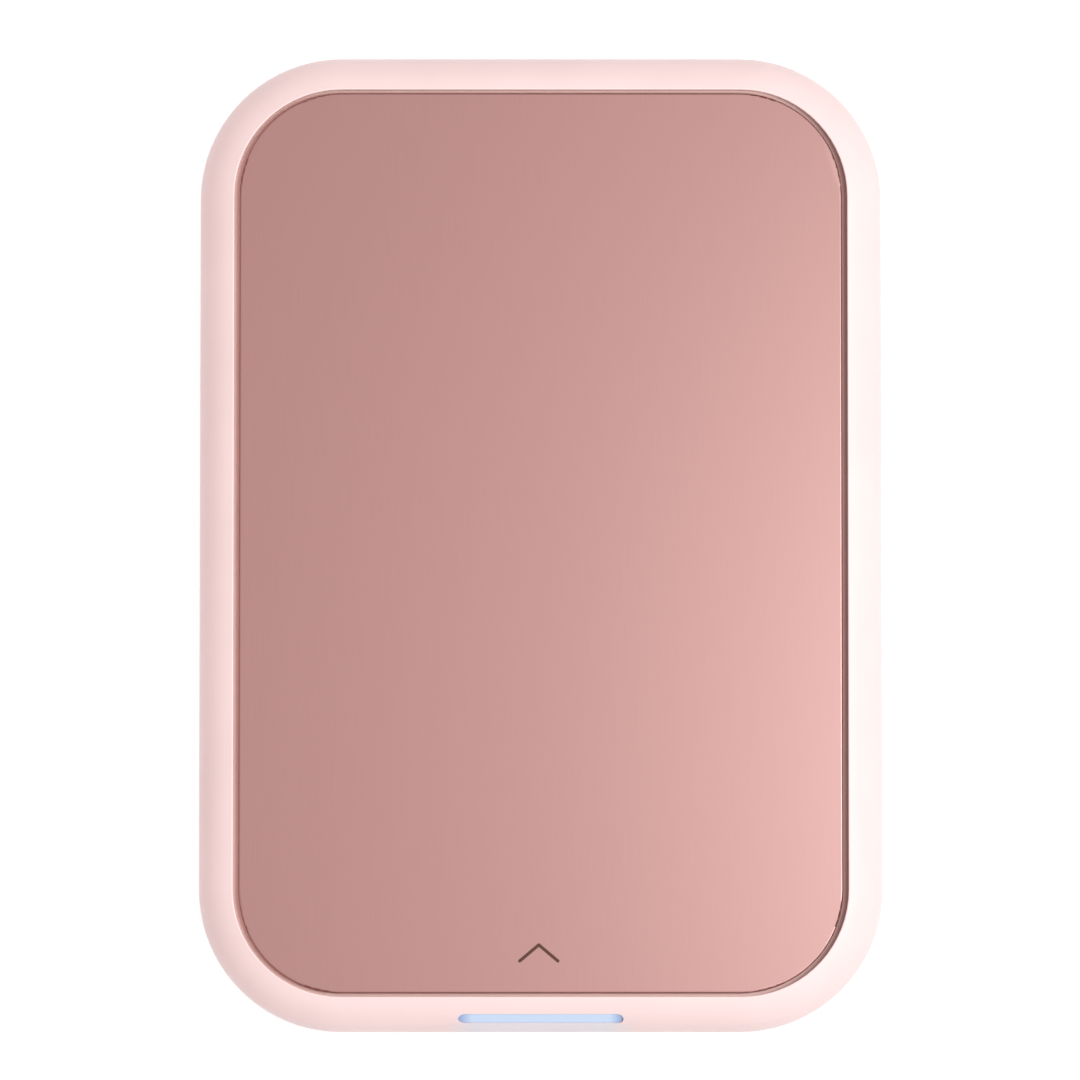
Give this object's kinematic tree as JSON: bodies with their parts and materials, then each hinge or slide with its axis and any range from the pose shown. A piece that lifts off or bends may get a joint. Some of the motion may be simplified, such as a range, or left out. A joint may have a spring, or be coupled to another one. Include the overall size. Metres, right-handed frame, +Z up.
{
  "type": "compact photo printer",
  "caption": "Flat rounded pocket photo printer with a brushed metal lid that slides back and swings up over a paper tray, a thermal print head and geared rollers.",
  "frame": {"origin": "centre of the case's outline in plan, on the surface the rubber feet stand on", "axes": "+X to the right seen from the exit end, +Y towards the hinge and charging socket end, +Z up out of the lid"},
  "size_m": [0.084, 0.12, 0.022],
  "materials": {
    "case_plastic": "satin pearl rose moulding",
    "cover_metal": "fine brushed anodised rose gold",
    "adhesive": "matt double-sided film",
    "lens": "frosted pale blue diffuser",
    "frame_plastic": "fine-grained black moulding",
    "steel_sheet": "zinc-plated sheet",
    "steel_bar": "ground steel",
    "spring_wire": "drawn spring wire",
    "screw_steel": "dark zinc screws",
    "magnet": "nickel-plated",
    "roller_rubber": "ground silicone rubber",
    "tyre_rubber": "soft grooved rubber",
    "foot_rubber": "soft grey rubber",
    "gear_plastic": "natural acetal",
    "bush_plastic": "tan self-lubricating plastic",
    "pinion_brass": "machined brass",
    "motor_can": "drawn steel can",
    "heat_sink": "extruded aluminium",
    "ceramic": "white alumina with a glazed line",
    "pinch_plastic": "white acetal",
    "press_plastic": "smooth black moulding",
    "ribbon_film": "amber polyimide film",
    "wire_red": "insulated wire",
    "wire_black": "insulated wire",
    "wire_blue": "insulated wire",
    "cell_pouch": "laminated foil pouch",
    "board_green": "green solder mask",
    "chip_black": "black epoxy",
    "shell_steel": "tinned sheet",
    "switch_black": "black nylon",
    "lamp": "yellowish phosphor on white"
  },
  "bodies": {
    "base": {"base_shell": "case_plastic", "rubber_feet": "foot_rubber", "base_screws": "screw_steel", "chassis": "frame_plastic", "separator_gate": "steel_sheet", "catch_magnets": "magnet", "hinge_pins": "steel_bar", "platen_bushes": "bush_plastic", "exit_bushes": "bush_plastic", "pickup_bushes": "bush_plastic", "drive_motor": "motor_can", "motor_leads": "wire_red", "gear_axles": "steel_bar", "gear_plate": "steel_sheet", "frame_screws": "screw_steel", "head_pin": "steel_bar", "head_springs": "spring_wire", "head_bridge": "steel_sheet", "head_ribbon": "ribbon_film", "paper_sensor": "chip_black", "signal_leads": "wire_blue", "battery": "cell_pouch", "battery_leads": "wire_black", "main_board": "board_green", "board_screws": "screw_steel", "board_chips": "chip_black", "usb_port": "shell_steel", "power_switch": "shell_steel", "led_board": "board_green", "status_leds": "lamp"},
    "lid_frame": {"hinge_frame": "steel_sheet", "guide_rivets": "steel_bar", "pressure_springs": "spring_wire"},
    "lid": {"cover_shell": "case_plastic", "cover_plate": "cover_metal", "plate_tape": "adhesive", "led_lens": "lens", "lid_magnets": "magnet"},
    "pressure_plate": {"pressure_plate": "press_plastic"},
    "platen_roller": {"platen_shaft": "steel_bar", "platen_rubber": "roller_rubber", "platen_gear": "gear_plastic"},
    "exit_roller": {"exit_shaft": "steel_bar", "exit_tyres": "roller_rubber", "exit_gear": "gear_plastic"},
    "exit_idler": {"exit_idler_gear": "gear_plastic"},
    "pinch_roller": {"pinch_shaft": "steel_bar", "pinch_rollers": "pinch_plastic"},
    "pickup_roller": {"pickup_shaft": "steel_bar", "pickup_tyres": "tyre_rubber", "pickup_gear": "gear_plastic"},
    "motor_rotor": {"motor_shaft": "steel_bar", "motor_pinion": "pinion_brass"},
    "front_reduction": {"front_reduction_gear": "gear_plastic"},
    "rear_reduction": {"rear_reduction_gear": "gear_plastic"},
    "print_head": {"print_head": "heat_sink", "head_ceramic": "ceramic"},
    "power_button": {"power_button": "case_plastic", "switch_plunger": "switch_black"}
  },
  "joints": [
    {"name": "lid_tilt", "type": "hinge", "parent": "base", "child": "lid_frame", "pos_m": [0, 0.05855, 0.014], "axis": [-1, 0, 0], "range_deg": [0, 65]},
    {"name": "lid_slide", "type": "slide", "parent": "lid_frame", "child": "lid", "axis": [0, 1, 0], "range_m": [0, 0.004]},
    {"name": "pressure_drop", "type": "slide", "parent": "lid_frame", "child": "pressure_plate", "axis": [0, 0, 1], "range_m": [-0.004, 0], "stiffness_N_per_m": 80, "springref_m": -0.006, "deforming": ["pressure_springs"]},
    {"name": "head_lift", "type": "hinge", "parent": "base", "child": "print_head", "pos_m": [0, -0.031, 0.0137], "axis": [-1, 0, 0], "range_deg": [0, 4], "stiffness_Nm_per_rad": 0.1, "springref_deg": -2.86, "deforming": ["head_springs"]},
    {"name": "platen_spin", "type": "hinge", "parent": "base", "child": "platen_roller", "pos_m": [0, -0.039, 0.007], "axis": [1, 0, 0], "continuous": true},
    {"name": "exit_spin", "type": "hinge", "parent": "base", "child": "exit_roller", "pos_m": [0, -0.051, 0.008], "axis": [1, 0, 0], "continuous": true},
    {"name": "exit_idler_spin", "type": "hinge", "parent": "base", "child": "exit_idler", "pos_m": [0, -0.04537, 0.00938], "axis": [1, 0, 0], "continuous": true},
    {"name": "pinch_spin", "type": "hinge", "parent": "base", "child": "pinch_roller", "pos_m": [0, -0.051, 0.01285], "axis": [1, 0, 0], "continuous": true},
    {"name": "pickup_spin", "type": "hinge", "parent": "base", "child": "pickup_roller", "pos_m": [0, -0.014, 0.00735], "axis": [1, 0, 0], "continuous": true},
    {"name": "motor_spin", "type": "hinge", "parent": "base", "child": "motor_rotor", "pos_m": [0, -0.027, 0.0062], "axis": [1, 0, 0], "continuous": true},
    {"name": "front_reduction_spin", "type": "hinge", "parent": "base", "child": "front_reduction", "pos_m": [0, -0.03328, 0.00881], "axis": [1, 0, 0], "continuous": true},
    {"name": "rear_reduction_spin", "type": "hinge", "parent": "base", "child": "rear_reduction", "pos_m": [0, -0.02039, 0.00778], "axis": [1, 0, 0], "continuous": true},
    {"name": "power_press", "type": "slide", "parent": "base", "child": "power_button", "axis": [0, -1, 0], "range_m": [0, 0.0006], "stiffness_N_per_m": 400, "springref_m": -0.0006}
  ],
  "couplings": [
    {"joint": "exit_spin", "follows": "platen_spin", "ratio": 1.3333},
    {"joint": "exit_idler_spin", "follows": "platen_spin", "ratio": -1.4286},
    {"joint": "pinch_spin", "follows": "platen_spin", "ratio": -2.5},
    {"joint": "pickup_spin", "follows": "platen_spin", "ratio": 0.90909},
    {"joint": "motor_spin", "follows": "platen_spin", "ratio": 4.8},
    {"joint": "front_reduction_spin", "follows": "platen_spin", "ratio": -2},
    {"joint": "rear_reduction_spin", "follows": "platen_spin", "ratio": -2}
  ]
}
